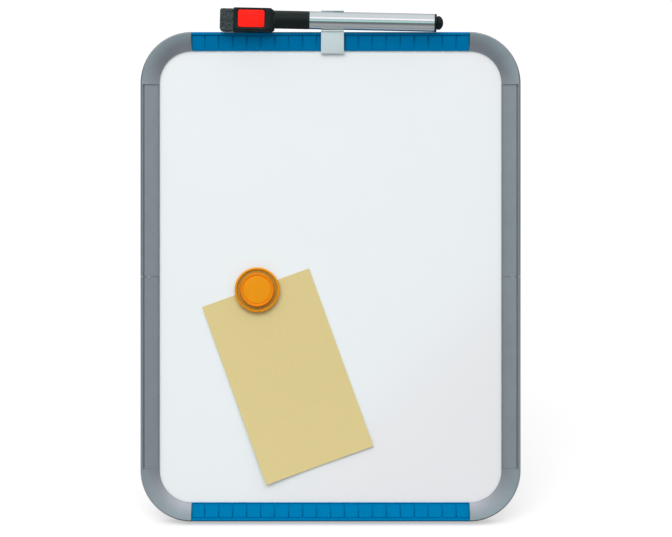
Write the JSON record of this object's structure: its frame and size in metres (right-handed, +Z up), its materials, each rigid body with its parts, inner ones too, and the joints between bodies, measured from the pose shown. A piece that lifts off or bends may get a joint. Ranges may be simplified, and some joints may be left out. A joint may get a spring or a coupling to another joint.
{
  "type": "desk whiteboard easel",
  "caption": "Small magnetic whiteboard leaning on a fold-out rear leg, in a grey frame with ribbed blue rails; a sliding clip holds a capped marker, a round magnet pins a paper note.",
  "frame": {"origin": "on the desk, under the middle of the whole object's box, with the leg folded out", "axes": "+Z up, +X to the right of someone facing the board, the board faces -Y"},
  "size_m": [0.2166, 0.0998, 0.2859],
  "materials": {
    "white_enamel": "gloss white writing enamel",
    "fibreboard": "plain fibreboard",
    "steel_backing": "satin grey",
    "grey_moulding": "semi-gloss moulded grey",
    "blue_rail": "gloss moulded blue",
    "joiner_plastic": "matt grey",
    "foot_rubber": "matt black rubber",
    "grey_bracket": "fine textured grey",
    "zinc_steel": "zinc plated",
    "clip_plastic": "translucent-looking pale grey",
    "silver_barrel": "silver, polished lengthwise",
    "nib_fibre": "ink-stained fibre",
    "reservoir_fibre": "wadding",
    "black_gloss": "gloss black",
    "ferrite": "matt dark ferrite",
    "red_label": "gloss red, bare",
    "grey_felt": "dense dark grey felt",
    "yellow_paper": "matt pale yellow paper",
    "orange_plastic": "gloss orange"
  },
  "bodies": {
    "board": {"writing_sheet": "white_enamel", "board_core": "fibreboard", "backing_sheet": "steel_backing", "upper_left_corner": "grey_moulding", "upper_right_corner": "grey_moulding", "lower_left_corner": "grey_moulding", "lower_right_corner": "grey_moulding", "top_rail": "blue_rail", "bottom_rail": "blue_rail", "side_joiners": "joiner_plastic", "desk_pads": "foot_rubber", "hinge_bracket": "grey_bracket", "bracket_screws": "zinc_steel", "hinge_pin": "zinc_steel"},
    "leg": {"easel_leg": "grey_bracket", "leg_foot": "foot_rubber"},
    "clip": {"marker_clip": "clip_plastic"},
    "marker": {"marker_barrel": "silver_barrel", "nib_holder": "black_gloss", "marker_nib": "nib_fibre", "ink_reservoir": "reservoir_fibre", "end_plug": "black_gloss"},
    "cap": {"marker_cap": "black_gloss", "cap_magnet": "ferrite", "cap_label": "red_label", "eraser_felt": "grey_felt"},
    "note": {"note_card": "yellow_paper"},
    "magnet": {"magnet_knob": "orange_plastic", "magnet_disc": "ferrite"}
  },
  "joints": [
    {"name": "leg_fold", "type": "hinge", "parent": "board", "child": "leg", "pos_m": [0, 0.01394, 0.18541], "axis": [1, 0, 0], "range_deg": [-25, 0]},
    {"name": "clip_slide", "type": "slide", "parent": "board", "child": "clip", "axis": [1, 0, 0], "range_m": [-0.0733, 0.0711]},
    {"name": "marker_pull", "type": "slide", "parent": "clip", "child": "marker", "axis": [0, -0.9659, 0.2588], "range_m": [0, 0.03]},
    {"name": "cap_pull", "type": "slide", "parent": "marker", "child": "cap", "axis": [-0.9998, 0.0054, 0.0202], "range_m": [0, 0.026]},
    {"name": "note_lift", "type": "slide", "parent": "board", "child": "note", "axis": [0, -0.9659, 0.2588], "range_m": [0, 0.03]},
    {"name": "magnet_lift", "type": "slide", "parent": "note", "child": "magnet", "axis": [0, -0.9659, 0.2588], "range_m": [0, 0.03]}
  ]
}
